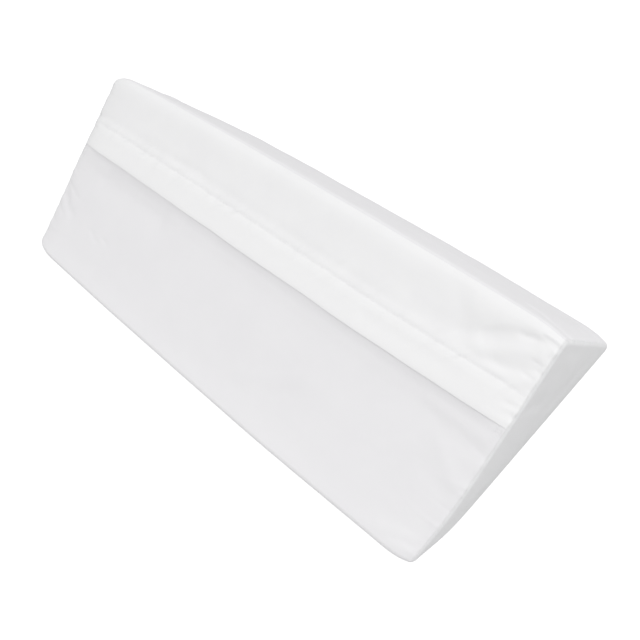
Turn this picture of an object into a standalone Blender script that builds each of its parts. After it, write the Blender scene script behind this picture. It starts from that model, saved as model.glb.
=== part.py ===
"""Long triangular wedge pillow in a fitted white cotton cover.

The wedge lies on its widest face with the ridge up and its length along X. One wrap of cloth runs
down the back, under the base and up the lower front. A flap starts at the ridge, lies over the upper
front and ends in a wide turned hem, which closes the cover like an envelope. A triangular panel is sewn
in at each end and wraps a few millimetres round the rim to its seam.

Units are metres, +Z is up, -Y is the side with the flap. The origin is on the floor, under the middle.
"""

import math

import bpy
import numpy as np

# Driving dimensions of the wedge, with its edges still sharp
HALF_LENGTH = 0.252
RIDGE_HEIGHT = 0.142
FRONT_REACH = 0.1470
BACK_REACH = 0.148

# Roundings
RIDGE_RADIUS = 0.008
FRONT_EDGE_RADIUS = 0.0045
BACK_EDGE_RADIUS = 0.0055
RIM_RADIUS = {-1: 0.0042, 1: 0.0038}
SHARP_ANGLE = math.radians(50)

# Cloth, and the width of the end panels that wraps round each rim
PANEL_THICKNESS = 0.0015
FLAP_THICKNESS = 0.0016
GAP = 0.0003
LIP_AT_RIDGE = {-1: 0.0050, 1: 0.0020}
LIP_AT_BASE = {-1: 0.0045, 1: 0.0018}

# The flap: FLAP_ROOT is how far behind the ridge it starts, FLAP_WIDTH how far down the front it ends
FLAP_ROOT = 0.002
FLAP_WIDTH = 0.0765
HEM_WIDTH = 0.025
HEM_BAND = 0.0009
HEM_BAND_RAMP = 0.005
HEM_GROOVE = 0.0004
HEM_GROOVE_HALF = 0.0018
HEM_DIP = 0.0005
HEM_DIP_HALF = 0.0045
HEM_DIP_ABOVE = 0.008
HEM_LIFT = 0.0006
HEM_LIFT_LEAST = 0.35
HEM_LIFT_MIDDLE = 0.05
HEM_LIFT_HALF = 0.13
SEWN_DOWN = 0.020

# The hem is pulled up towards the ridge at the near end, and the rows below it follow as far as PULL_END
HEM_PULL = 0.0040
PULL_START = 0.12
PULL_END = 0.110
PULL_POWER = 1.6

# The wrap lies lower under the flap and rises to the face again below its edge, at once beside the seams
RISE_IN_MIDDLE = (0.090, 0.155)
RISE_AT_SEAM = (0.079, 0.086)
RISE_POWER = 1.5
RISE_SLANT = 0.025

# How the filled wedge departs from a plain prism
FACE_CROWN = 0.0030
CROWN_POWER = 0.7
CROWN_END_POWER = 4
END_CROWN = 0.0028
END_CROWN_POWER = 0.6
EDGE_BOW = 0.0026
EDGE_BOW_POWER = 2.5
RIDGE_RISE = 0.0012
RIDGE_LEAN = 0.0005
CORNER_DRAW = {-1: 0.0063, 1: 0.0048}
CORNER_RUN = 0.030
NARROWING = 0.0013
NARROWING_START = 0.08
NARROWING_END = 0.21
SEAM_PINCH = 0.0005
SEAM_PINCH_WIDTH = 0.003
FOLD_FADE = 0.008
FACE_MIDDLE = np.array([0.0, 0.38 * RIDGE_HEIGHT])

# Lengths added to an end at floor level, at its back edge, and along its floor edge about a place y
FLARE_AT_BASE = {-1: 0.0033, 1: -0.0015}
FLARE_AT_BACK = {-1: 0.0004, 1: 0.0003}
BULGE = {-1: 0.0022, 1: -0.0060}
BULGE_PLACE = {-1: 0.0, 1: -0.150}
BULGE_HALF = {-1: 0.100, 1: 0.035}

# Soft folds of the front face: a straight run from (x0, s0) to (x1, s1), s being the distance below the
# ridge, with the half width of the fold and its height, which is negative in a trough
FRONT_FOLDS = (
    # x0,     s0,     x1,     s1,     half,   height
    (-0.250, 0.0135, 0.250, 0.0135, 0.0075, 0.0006),
    (0.247, 0.009, 0.229, 0.014, 0.0036, -0.0012),
    (0.229, 0.014, 0.206, 0.028, 0.0050, -0.0012),
    (0.206, 0.028, 0.190, 0.036, 0.0056, -0.0010),
    (0.190, 0.036, 0.148, 0.036, 0.0070, -0.0008),
    (0.174, 0.013, 0.190, 0.031, 0.0080, -0.0007),
    (0.214, 0.010, 0.190, 0.016, 0.0085, 0.0007),
    (0.243, 0.018, 0.208, 0.038, 0.0042, 0.0008),
    (0.208, 0.038, 0.150, 0.047, 0.0050, 0.0005),
    (0.246, 0.030, 0.220, 0.041, 0.0042, -0.0010),
    (-0.195, 0.096, -0.110, 0.094, 0.0120, -0.0009),
    (-0.245, 0.132, -0.230, 0.137, 0.0052, -0.0012),
    (-0.230, 0.137, -0.214, 0.153, 0.0052, -0.0012),
    (-0.243, 0.121, -0.224, 0.128, 0.0042, -0.0006),
    (0.196, 0.087, 0.247, 0.089, 0.0050, 0.0006),
    (0.206, 0.098, 0.246, 0.099, 0.0062, -0.0006),
    (0.220, 0.112, 0.241, 0.127, 0.0058, 0.0006),
    (0.214, 0.128, 0.240, 0.139, 0.0068, -0.0005),
    (0.048, 0.161, 0.106, 0.130, 0.0080, 0.0005),
    (-0.240, 0.160, 0.240, 0.160, 0.0220, -0.0007),
    (0.248, 0.176, 0.214, 0.185, 0.0052, 0.0007),
)

# Soft folds of the back face, in the same terms
BACK_FOLDS = (
    (-0.246, 0.030, -0.215, 0.046, 0.0070, -0.0010),
    (0.246, 0.150, 0.210, 0.168, 0.0080, -0.0010),
    (-0.080, 0.104, 0.060, 0.118, 0.0200, -0.0009),
)

# Soft folds of each end panel, whose places are y and z
END_FOLDS = {
    # y0,     z0,     y1,     z1,     half,   height
    1: (
        (-0.034, 0.088, -0.008, 0.068, 0.0080, -0.0012),
        (0.020, 0.052, 0.062, 0.044, 0.0120, -0.0010),
    ),
    -1: (
        (0.036, 0.078, 0.012, 0.052, 0.0100, -0.0010),
        (-0.078, 0.040, -0.030, 0.030, 0.0120, -0.0010),
    ),
}


def unit(vector):
    return np.asarray(vector, float) / np.linalg.norm(vector)


CORNER = {
    "ridge": np.array([0.0, RIDGE_HEIGHT]),
    "front_edge": np.array([-FRONT_REACH, 0.0]),
    "back_edge": np.array([BACK_REACH, 0.0]),
}
RADIUS = {"ridge": RIDGE_RADIUS, "front_edge": FRONT_EDGE_RADIUS, "back_edge": BACK_EDGE_RADIUS}
SIDE = {
    "front": ("ridge", "front_edge"),
    "base": ("front_edge", "back_edge"),
    "back": ("ridge", "back_edge"),
}
NORMAL = {
    "front": unit([-RIDGE_HEIGHT, FRONT_REACH]),
    "base": np.array([0.0, -1.0]),
    "back": unit([RIDGE_HEIGHT, BACK_REACH]),
}
BISECTOR = {
    "ridge": unit(NORMAL["front"] + NORMAL["back"]),
    "front_edge": unit(NORMAL["front"] + NORMAL["base"]),
    "back_edge": unit(NORMAL["back"] + NORMAL["base"]),
}


def side_length(side):
    first, last = SIDE[side]
    return np.linalg.norm(CORNER[last] - CORNER[first])


def turn_length(side, corner):
    """Length of a side that belongs to the rounding of one of its corners."""
    return RADIUS[corner] * math.tan(math.acos(NORMAL[side] @ BISECTOR[corner]))


def turned(start, end, share):
    """Unit vector a share of the way round from one unit vector to another."""
    angle = math.acos(start @ end)
    return (math.sin((1 - share) * angle) * start + math.sin(share * angle) * end) / math.sin(angle)


def profile(side, s):
    """Point and outward normal (y, z) at distance s along a side of the rounded triangle."""
    first, last = SIDE[side]
    normal = NORMAL[side]
    for corner, distance in ((first, s), (last, side_length(side) - s)):
        reach = turn_length(side, corner)
        if distance < reach:
            bisector = BISECTOR[corner]
            out = turned(normal, bisector, 1 - distance / reach)
            centre = CORNER[corner] - bisector * RADIUS[corner] / (normal @ bisector)
            return centre + RADIUS[corner] * out, out
    return CORNER[first] + unit(CORNER[last] - CORNER[first]) * s, normal


def fold_height(folds, u, v):
    """Sum of the soft straight folds of a table at one point of a face."""
    total = 0.0
    for u0, v0, u1, v1, half, height in folds:
        run = np.array([u1 - u0, v1 - v0])
        share = np.clip(((u - u0) * run[0] + (v - v0) * run[1]) / (run @ run), 0, 1)
        distance = math.hypot(u - u0 - share * run[0], v - v0 - share * run[1])
        total += height * math.exp(-(distance / half) ** 2)
    return total


def swell(share, height):
    """Crown of a stuffed face, nothing at either edge and full across most of the middle."""
    return height * math.sin(math.pi * min(max(share, 0), 1)) ** CROWN_POWER


def lip(side, s, end):
    """How far an end panel wraps round the rim at a place on it."""
    depth = {"front": s / side_length("front"), "base": 1.0, "back": s / side_length("back")}[side]
    return LIP_AT_RIDGE[end] + (LIP_AT_BASE[end] - LIP_AT_RIDGE[end]) * depth


def relief(side, x, s):
    """Height of the cover over the plain face: crown, folds and the pinch along the end seams."""
    if side == "base":
        return 0.0
    end = 1 if x > 0 else -1
    from_rim = HALF_LENGTH - abs(x)
    height = swell(s / side_length(side), FACE_CROWN) * (1 - (abs(x) / HALF_LENGTH) ** CROWN_END_POWER)
    folds = {"front": FRONT_FOLDS, "back": BACK_FOLDS}[side]
    height += fold_height(folds, x, s) * min(1, max(from_rim, 0) / FOLD_FADE)
    height -= SEAM_PINCH * math.exp(-((from_rim - lip(side, s, end)) / SEAM_PINCH_WIDTH) ** 2)
    from_edge = (side_length(side) - s) / turn_length(side, SIDE[side][1])
    return height * max(min(1, s / RIDGE_RADIUS, from_edge), 0)


def skin(x, side, s, out=0.0):
    """Point of the plain wedge's skin at x, moved outwards by out, with the rim of the ends rounded."""
    point, normal = profile(side, s)
    end = 1 if x > 0 else -1
    radius = RIM_RADIUS[end]
    past = abs(x) - (HALF_LENGTH - radius)
    tilt = math.asin(min(max(past, 0) / radius, 1))
    inset = radius * (1 - math.cos(tilt))
    rise = out + relief(side, x, s)
    y, z = point + normal * (rise * math.cos(tilt) - inset)
    return np.array([x + end * rise * math.sin(tilt), y, z])


def end_swell(y, z):
    """Smooth crown of the triangular end: 1 in the middle of the triangle and 0 on its sides."""
    up = z / RIDGE_HEIGHT
    if up <= 0:
        return 0.0
    across = (1 - up) / 2
    slide = (y - (BACK_REACH - FRONT_REACH) / 2 * (1 - up)) / (FRONT_REACH + BACK_REACH)
    highest = 1 / 27
    return (up * max(across - slide, 0) * max(across + slide, 0) / highest) ** END_CROWN_POWER


def end_face(end, side, s, share, out=0.0):
    """Point of an end face, from its rim at share 1 to its middle at share 0."""
    point, normal = profile(side, follow_hem(end * HALF_LENGTH, s) if side == "front" else s)
    y, z = FACE_MIDDLE + (point - normal * RIM_RADIUS[end] - FACE_MIDDLE) * share
    crown = END_CROWN * end_swell(y, z) * (1 - share ** CROWN_END_POWER)
    clear_of_rim = 1 - max(FACE_SHARES[0], share)
    crease = fold_height(END_FOLDS[end], y, z) * clear_of_rim / (1 - FACE_SHARES[0])
    return np.array([end * (HALF_LENGTH + crown + crease + out), y, z])


def settle(point):
    """Bow the long edges, draw the corners in and slant the ends, as on the stuffed cover."""
    x, y, z = point
    end = 1 if x > 0 else -1
    along = min(abs(x) / HALF_LENGTH, 1)
    height = z / RIDGE_HEIGHT
    middle = 1 - along ** EDGE_BOW_POWER
    near_end = max((abs(x) - HALF_LENGTH + CORNER_RUN) / CORNER_RUN, 0) ** 2
    scale = 1 + (EDGE_BOW * middle - CORNER_DRAW[end] * near_end) / RIDGE_HEIGHT
    towards = min(max((x - NARROWING_START) / (NARROWING_END - NARROWING_START), 0), 1)
    narrower = NARROWING / RIDGE_HEIGHT * towards ** 2 * (3 - 2 * towards)
    bulge = BULGE[end] * math.exp(-((y - BULGE_PLACE[end]) / BULGE_HALF[end]) ** 2) * near_end
    flare = (FLARE_AT_BASE[end] + bulge) * (1 - height) + FLARE_AT_BACK[end] * y / RIDGE_HEIGHT
    return (
        x + end * flare * along ** 2,
        y * (scale - narrower) + RIDGE_LEAN * middle * height,
        z * scale + RIDGE_RISE * middle * height,
    )


def follow_hem(x, s):
    """Rows near the hem follow its edge, which is pulled towards the ridge at the near end."""
    near_end = min(max((x - PULL_START) / (HALF_LENGTH - PULL_START), 0), 1) ** PULL_POWER
    above = min(s / (FLAP_WIDTH - HEM_WIDTH), 1)
    below = min(max((PULL_END - s) / (PULL_END - FLAP_WIDTH), 0), 1)
    return s - HEM_PULL * near_end * above * below


def hem_height(x, s):
    """Height of the flap's outside over the wrap's skin, and how far the whole flap is lifted there."""
    from_top = s - (FLAP_WIDTH - HEM_WIDTH)
    dip = -HEM_DIP * math.exp(-((from_top + HEM_DIP_ABOVE) / HEM_DIP_HALF) ** 2)
    groove = -HEM_GROOVE * math.exp(-(from_top / HEM_GROOVE_HALF) ** 2)
    band = HEM_BAND * min(max(from_top / HEM_BAND_RAMP, 0), 1)
    slack = math.exp(-((x - HEM_LIFT_MIDDLE) / HEM_LIFT_HALF) ** 2)
    looseness = HEM_LIFT_LEAST + (1 - HEM_LIFT_LEAST) * slack
    lift = HEM_LIFT * looseness * max(from_top / HEM_WIDTH, 0) ** 2
    sewn_down = min(1, (HALF_LENGTH - abs(x)) / SEWN_DOWN)
    return (dip + groove + band) * sewn_down, lift * sewn_down


def wrap_depth(share, s):
    """How deep the wrap lies under the plain skin, beneath the flap and below its edge."""
    inward = min((1 - abs(share)) * HALF_LENGTH / RISE_SLANT, 1)
    start = RISE_AT_SEAM[0] + (RISE_IN_MIDDLE[0] - RISE_AT_SEAM[0]) * inward
    last = RISE_AT_SEAM[1] + (RISE_IN_MIDDLE[1] - RISE_AT_SEAM[1]) * inward
    return (FLAP_THICKNESS + GAP) * min(max((last - s) / (last - start), 0), 1) ** RISE_POWER


# Stations along the length, as shares of the way from the middle to the end seams
STATIONS = np.concatenate([
    [-1, -0.985, -0.96, -0.925],
    np.linspace(-0.88, 0.70, 27),
    np.linspace(0.735, 0.925, 6),
    [0.955, 0.98, 1],
])

# Rows across the front, from the ridge down: those under the flap, and those below it
FLAP_ROWS = np.array([
    0, 0.004, 0.008, 0.014, 0.021, 0.028, 0.036, 0.0435, 0.048, 0.0515, 0.054, 0.058, 0.067, 0.0757,
])
LOWER_ROWS = np.array([
    0.079, 0.082, 0.086, 0.091, 0.098, 0.107, 0.118, 0.130, 0.141, 0.152, 0.163, 0.174, 0.184,
])
BASE_SHARES = np.linspace(0, 1, 11)[1:-1]
BACK_ROWS = 10
ARC = np.array([0.25, 0.5, 0.75, 1.0])
RIM_SHARES = (0.10, 0.35, 0.65, 1.0)
LEDGE_SHARE = 0.01
FACE_SHARES = (0.85, 0.62, 0.35)


def rows_round():
    """The rows of the whole cover as (side, distance): front downwards, base, then the back upwards."""
    front, base, back = (side_length(side) for side in ("front", "base", "back"))
    front_turn = turn_length("front", "front_edge")
    base_turn = turn_length("base", "front_edge")
    back_turn = turn_length("back", "back_edge")
    rows = [("front", s) for s in (*FLAP_ROWS, *LOWER_ROWS, *(front - front_turn * ARC[::-1]))]
    rows += [("base", s) for s in (0, *(base_turn * ARC[1::2]), *(base * BASE_SHARES))]
    rows += [("base", base - s) for s in (*(base_turn * ARC[::-2]), 0)]
    rows += [("back", back - s) for s in back_turn * ARC]
    last_flat = back - 1.5 * BACK_EDGE_RADIUS - back_turn
    rows += [("back", s) for s in np.linspace(last_flat, RIDGE_RADIUS, BACK_ROWS)]
    rows += [("back", (RIDGE_RADIUS + FLAP_ROOT) / 2), ("back", FLAP_ROOT)]
    return rows


ROWS = rows_round()


def seam_station(share, side, s):
    """x of a station that follows the slightly slanted end seams."""
    end = 1 if share > 0 else -1
    return share * (HALF_LENGTH - lip(side, s, end))


def cloth_point(share, side, s, out):
    """Point over a station and row of the wrap or the flap, in the settled cover."""
    x = seam_station(share, side, s)
    if side == "front":
        s = follow_hem(x, s)
    return skin(x, side, s, out)


def rim_point(end, side, s, share, out):
    """Point under or on an end panel, from its seam at share 0 to the rim of the end face at share 1."""
    width = lip(side, s, end)
    x = end * (HALF_LENGTH - width * (1 - math.sin(math.pi / 2 * share)))
    if side == "front":
        s = follow_hem(x, s)
    return skin(x, side, s, out)


def cut(a, b, c, d, falling=False):
    """Two triangles for four corners in order, cut from b to d if falling and from a to c otherwise."""
    return [(a, b, d), (b, c, d)] if falling else [(a, b, c), (a, c, d)]


def solid(name, points, faces, material):
    """Closed mesh object of settled points."""
    mesh = bpy.data.meshes.new(name)
    mesh.from_pydata([settle(point) for point in points], [], faces)
    mesh.materials.append(material)
    mesh.shade_smooth()
    mesh.set_sharp_from_angle(angle=SHARP_ANGLE)
    piece = bpy.data.objects.new(name, mesh)
    bpy.context.scene.collection.objects.link(piece)
    return piece


def cotton(name, colour, roughness):
    material = bpy.data.materials.new(name)
    material.use_nodes = True
    shader = material.node_tree.nodes["Principled BSDF"]
    shader.inputs["Base Color"].default_value = (*colour, 1)
    shader.inputs["Roughness"].default_value = roughness
    shader.inputs["Metallic"].default_value = 0
    return material


def wedge_body(material):
    """Filled wedge with the wrap: rings along X, closed by a point in the middle of each end."""
    under_panel = -(PANEL_THICKNESS + GAP)
    body_rows = [*ROWS, ("back", FLAP_ROOT - GAP)]

    def under(share, side, s):
        beneath_root = side == "back" and s < FLAP_ROOT
        return -wrap_depth(share, 0 if beneath_root else s) if side == "front" or beneath_root else 0.0

    def end_rings(end):
        rings = []
        for share in (LEDGE_SHARE, *RIM_SHARES[1:]):
            rings.append([rim_point(end, side, s, share, under_panel) for side, s in body_rows])
        for share in FACE_SHARES:
            rings.append([end_face(end, side, s, share, under_panel) for side, s in body_rows])
        return rings

    wrap = []
    for share in STATIONS:
        wrap.append([cloth_point(share, side, s, under(share, side, s)) for side, s in body_rows])
    rings = end_rings(-1)[::-1] + wrap + end_rings(1)
    count = len(body_rows)
    points = [point for ring in rings for point in ring]
    faces = []
    for ring in range(len(rings) - 1):
        for row in range(count):
            here, there = ring * count + row, ring * count + (row + 1) % count
            faces += cut(here, there, there + count, here + count, ring >= len(rings) // 2)
    for end, first in ((-1, 0), (1, (len(rings) - 1) * count)):
        pole = len(points)
        points.append(end_face(end, "base", 0, 0, under_panel))
        for row in range(count):
            here, there = first + row, first + (row + 1) % count
            faces.append((pole, there, here)[::-end])
    return solid("wedge_body", points, faces, material)


def closure_flap(material):
    """Flap from the ridge to its hem: an outer and an inner layer joined along all four edges."""
    root = FLAP_ROOT - 2 * GAP
    rows = [("back", root), *(("front", s) for s in FLAP_ROWS), ("front", FLAP_WIDTH)]

    def layer(inner):
        grid = []
        for share in STATIONS:
            ring = []
            for side, s in rows:
                band, lift = 0.0, 0.0
                if side == "front":
                    band, lift = hem_height(seam_station(share, side, s), s)
                ring.append(cloth_point(share, side, s, lift + (-FLAP_THICKNESS if inner else band)))
            grid.append(ring)
        return grid

    grids = layer(False) + layer(True)
    points = [point for ring in grids for point in ring]
    rings, count = len(STATIONS), len(rows)
    inside = rings * count
    faces = []
    for ring in range(rings - 1):
        for row in range(count - 1):
            a = ring * count + row
            outer = cut(a, a + 1, a + count + 1, a + count, ring >= rings // 2)
            faces += outer
            faces += [tuple(inside + corner for corner in corners[::-1]) for corners in outer]
        for row, order in ((0, -1), (count - 1, 1)):
            a = ring * count + row
            faces += [corners[::order] for corners in cut(a, a + inside, a + inside + count, a + count)]
    for ring, order in ((0, -1), (rings - 1, 1)):
        for row in range(count - 1):
            a = ring * count + row
            faces += [corners[::order] for corners in cut(a, a + 1, a + inside + 1, a + inside)]
    return solid("closure_flap", points, faces, material)


def end_panel(name, end, material):
    """Triangular end panel: a shallow cap, its outer and inner layers joined along the seam edge."""

    def layer(out):
        rings = [[rim_point(end, side, s, share, out) for side, s in ROWS] for share in RIM_SHARES]
        rings += [[end_face(end, side, s, share, out) for side, s in ROWS] for share in FACE_SHARES]
        return rings

    grids = layer(0.0) + layer(-PANEL_THICKNESS)
    points = [point for ring in grids for point in ring]
    count = len(ROWS)
    inside = len(points) // 2
    faces = []
    for ring in range(len(grids) // 2 - 1):
        for row in range(count):
            here, there = ring * count + row, ring * count + (row + 1) % count
            whole = cut(here, there, there + count, here + count, True)
            faces += [corners[::end] for corners in whole]
            faces += [tuple(inside + corner for corner in corners[::-end]) for corners in whole]
    last = inside - count
    poles = (len(points), len(points) + 1)
    points += [end_face(end, "base", 0, 0, out) for out in (0.0, -PANEL_THICKNESS)]
    for row in range(count):
        after = (row + 1) % count
        faces += [corners[::end] for corners in cut(row, row + inside, after + inside, after)]
        faces.append((poles[0], last + row, last + after)[::end])
        faces.append((poles[1], inside + last + after, inside + last + row)[::end])
    return solid(name, points, faces, material)


def centre_over_origin(pieces):
    """Move the pieces so that their common box is centred over the origin."""
    corners = np.array([vertex.co for piece in pieces for vertex in piece.data.vertices])
    middle = (corners.min(axis=0) + corners.max(axis=0)) / 2
    for piece in pieces:
        piece.location = (-middle[0], -middle[1], 0)


for leftover in list(bpy.data.objects):
    bpy.data.objects.remove(leftover, do_unlink=True)

wrap_cotton = cotton("wrap_cotton", (0.90, 0.90, 0.91), 0.85)
flap_cotton = cotton("flap_cotton", (0.92, 0.92, 0.93), 0.85)
panel_cotton = cotton("panel_cotton", (0.88, 0.88, 0.90), 0.85)

centre_over_origin([
    wedge_body(wrap_cotton),
    closure_flap(flap_cotton),
    end_panel("end_panel_left", -1, panel_cotton),
    end_panel("end_panel_right", 1, panel_cotton),
])
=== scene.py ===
import math

import bpy
import numpy as np
from mathutils import Matrix, Vector


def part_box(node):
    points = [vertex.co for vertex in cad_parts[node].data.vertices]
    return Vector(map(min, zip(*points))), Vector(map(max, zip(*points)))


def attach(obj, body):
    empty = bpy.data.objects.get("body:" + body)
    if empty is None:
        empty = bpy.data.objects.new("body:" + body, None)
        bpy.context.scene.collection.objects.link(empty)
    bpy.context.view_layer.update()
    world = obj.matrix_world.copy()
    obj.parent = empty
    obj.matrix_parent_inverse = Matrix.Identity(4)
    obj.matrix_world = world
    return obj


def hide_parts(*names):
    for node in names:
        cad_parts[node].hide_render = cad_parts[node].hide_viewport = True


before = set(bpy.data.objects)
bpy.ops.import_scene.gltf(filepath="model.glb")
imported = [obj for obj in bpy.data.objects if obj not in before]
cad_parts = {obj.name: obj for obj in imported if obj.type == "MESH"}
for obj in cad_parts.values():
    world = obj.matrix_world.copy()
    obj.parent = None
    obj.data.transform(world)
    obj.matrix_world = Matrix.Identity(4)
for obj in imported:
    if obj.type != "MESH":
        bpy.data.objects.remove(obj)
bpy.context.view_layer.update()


# The filled wedge
# A block of firm foam in a wrap of white cotton: one length of cloth that runs down the back, under the
# base and up the front, on beneath the flap. It is sewn to an end panel at each end, which keeps it taut.

HALF_LENGTH = 0.252
RIDGE_HEIGHT = 0.142
FRONT_REACH = 0.1470
BACK_REACH = 0.148
RIM_RADIUS = {-1: 0.0042, 1: 0.0038}
LIP_AT_RIDGE = {-1: 0.0050, 1: 0.0020}
LIP_AT_BASE = {-1: 0.0045, 1: 0.0018}

CROWN = 0.0030
EDGE_BOW = 0.0026
RIDGE_RISE = 0.0012
RIDGE_LEAN = 0.0005
CORNER_DRAW = {-1: 0.0063, 1: 0.0048}
CORNER_RUN = 0.030
NARROWING = 0.0013
NARROWING_START = 0.08
NARROWING_END = 0.21
FLARE_AT_BASE = {-1: 0.0033, 1: -0.0015}
FLARE_AT_BACK = {-1: 0.0004, 1: 0.0003}
BULGE = {-1: 0.0022, 1: -0.0060}
BULGE_PLACE = {-1: 0.0, 1: -0.150}
BULGE_HALF = {-1: 0.100, 1: 0.035}

FLAP_ROOT = 0.002
FLAP_WIDTH = 0.0765
HEM_WIDTH = 0.025
HEM_PULL = 0.0040
HEM_PULL_START = 0.12
HEM_PULL_END = 0.110

SEAM_PINCH = {-1: 0.0003, 1: 0.00008}
SEAM_PINCH_WIDTH = 0.003
SEAM_DEPTH = {-1: 0.0003, 1: 0.0001}
SEAM_SOFTNESS = 0.0007
WELT = {-1: 0.0001, 1: 0.0}
WELT_PLACE = 0.0022
WELT_WIDTH = 0.0014
BASE_SEAM_SHARE = 0.3
GATHER_PITCH = 0.0060
GATHER_HEIGHT = 0.00085
GATHER_CLEARANCE = 0.002
FOLD_CLEARANCE = 0.008
UNEVENNESS = 0.00020
WAVE_LENGTHS = (0.022, 0.11)

CORNER = {
    "ridge": np.array([0.0, RIDGE_HEIGHT]),
    "front_edge": np.array([-FRONT_REACH, 0.0]),
    "back_edge": np.array([BACK_REACH, 0.0]),
}
RADIUS = {"ridge": 0.008, "front_edge": 0.0045, "back_edge": 0.0055}
SIDE = {
    "front": ("ridge", "front_edge"),
    "base": ("front_edge", "back_edge"),
    "back": ("ridge", "back_edge"),
}

# Folds of the front cloth: a run from (x0, s0) to (x1, s1), s being the distance down from the ridge, bowed
# sideways by bow; half is its half width, lean makes one flank wider, and a trough has a negative height
FRONT_FOLDS = (
    # x0,     s0,     x1,     s1,     bow,     half,   lean,  height
    (-0.250, 0.0135, 0.250, 0.0135, 0.0, 0.0075, 0.3, 0.0006),
    (0.2485, 0.0088, 0.227, 0.0150, 0.0006, 0.0024, -0.5, -0.0011),
    (0.232, 0.0130, 0.205, 0.0280, 0.0012, 0.0056, -0.4, -0.0014),
    (0.208, 0.0260, 0.190, 0.0365, 0.0006, 0.0072, 0.2, -0.0011),
    (0.192, 0.0360, 0.148, 0.0360, -0.0010, 0.0070, 0.0, -0.0006),
    (0.174, 0.0130, 0.190, 0.0310, 0.0, 0.0080, 0.0, -0.0006),
    (0.214, 0.0100, 0.190, 0.0160, 0.0, 0.0085, 0.0, 0.0006),
    (0.243, 0.0190, 0.208, 0.0390, 0.0010, 0.0040, 0.0, 0.0006),
    (0.208, 0.0385, 0.150, 0.0470, 0.0, 0.0050, 0.0, 0.0004),
    (0.247, 0.0290, 0.220, 0.0410, -0.0012, 0.0042, 0.2, -0.0010),
    (0.248, 0.0400, 0.222, 0.0460, 0.0, 0.0034, 0.0, 0.0006),
    (0.155, 0.0240, 0.120, 0.0400, 0.0, 0.0110, 0.0, -0.0004),
    (-0.122, 0.0430, -0.086, 0.0400, 0.0, 0.0040, 0.0, -0.0004),
    (0.120, 0.0640, 0.200, 0.0620, 0.0, 0.0060, 0.0, -0.0004),
    (-0.195, 0.0970, -0.110, 0.0950, -0.0010, 0.0130, 0.0, -0.0016),
    (-0.236, 0.0850, -0.205, 0.0870, 0.0, 0.0050, 0.0, 0.0004),
    (-0.244, 0.1300, -0.223, 0.1450, 0.0030, 0.0070, 0.2, -0.0012),
    (-0.243, 0.1210, -0.224, 0.1280, 0.0, 0.0040, 0.0, -0.0004),
    (-0.246, 0.1400, -0.226, 0.1500, 0.0, 0.0040, 0.0, 0.0004),
    (-0.184, 0.1460, -0.172, 0.1510, 0.0, 0.0034, 0.0, -0.0004),
    (-0.163, 0.1450, -0.157, 0.1460, 0.0, 0.0026, 0.0, -0.0004),
    (0.196, 0.0870, 0.247, 0.0890, 0.0, 0.0050, 0.0, 0.0006),
    (0.206, 0.0980, 0.246, 0.0990, 0.0010, 0.0062, 0.0, -0.0005),
    (0.220, 0.1120, 0.241, 0.1270, 0.0, 0.0055, 0.0, 0.0005),
    (0.214, 0.1280, 0.240, 0.1390, 0.0, 0.0065, 0.0, -0.0004),
    (0.182, 0.1380, 0.199, 0.1210, 0.0, 0.0050, 0.0, 0.0003),
    (0.048, 0.1610, 0.106, 0.1300, 0.0020, 0.0075, 0.0, 0.0004),
    (0.046, 0.1720, 0.100, 0.1440, 0.0020, 0.0085, 0.0, -0.0003),
    (0.248, 0.1750, 0.214, 0.1850, 0.0, 0.0050, 0.0, 0.0006),
    (0.247, 0.1870, 0.226, 0.1900, 0.0, 0.0034, 0.0, 0.0005),
    (-0.240, 0.1600, 0.240, 0.1600, 0.0, 0.0220, 0.0, -0.0008),
    (-0.240, 0.1960, 0.240, 0.1960, 0.0, 0.0120, 0.0, 0.0013),
    (0.2385, 0.0080, 0.2480, 0.0062, 0.0, 0.0013, 0.0, -0.0008),
    (0.2400, 0.0050, 0.2490, 0.0036, 0.0, 0.0016, 0.0, 0.0010),
    (0.2405, 0.0250, 0.2480, 0.0245, 0.0, 0.0013, 0.0, -0.0006),
    (0.2405, 0.0360, 0.2480, 0.0350, 0.0, 0.0013, 0.0, -0.0006),
    (0.2400, 0.0590, 0.2480, 0.0575, 0.0, 0.0014, 0.0, -0.0006),
    (-0.152, 0.0520, -0.166, 0.0580, 0.0, 0.0016, 0.0, -0.0003),
)
BACK_FOLDS = (
    # x0,     s0,     x1,     s1,     bow,     half,   lean,  height
    (-0.246, 0.030, -0.215, 0.046, 0.0020, 0.0070, 0.0, -0.0012),
    (-0.246, 0.052, -0.222, 0.060, 0.0, 0.0050, 0.0, 0.0007),
    (0.246, 0.150, 0.210, 0.168, 0.0030, 0.0080, 0.0, -0.0012),
    (0.246, 0.024, 0.214, 0.038, 0.0030, 0.0055, 0.2, -0.0010),
    (-0.080, 0.104, 0.060, 0.118, 0.0060, 0.0180, 0.0, -0.0009),
    (-0.246, 0.170, -0.218, 0.160, 0.0, 0.0060, 0.0, -0.0008),
    (0.110, 0.070, 0.170, 0.058, 0.0, 0.0120, 0.0, 0.0005),
    (0.000, 0.178, 0.090, 0.172, 0.0, 0.0080, 0.0, 0.0004),
    (-0.240, 0.1905, 0.240, 0.1905, 0.0, 0.0020, 0.0, 0.0006),
)


def unit(vector):
    return np.asarray(vector, float) / np.linalg.norm(vector)


NORMAL = {
    "front": unit([-RIDGE_HEIGHT, FRONT_REACH]),
    "base": np.array([0.0, -1.0]),
    "back": unit([RIDGE_HEIGHT, BACK_REACH]),
}
BISECTOR = {
    "ridge": unit(NORMAL["front"] + NORMAL["back"]),
    "front_edge": unit(NORMAL["front"] + NORMAL["base"]),
    "back_edge": unit(NORMAL["back"] + NORMAL["base"]),
}


def side_length(side):
    first, last = SIDE[side]
    return np.linalg.norm(CORNER[last] - CORNER[first])


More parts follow.
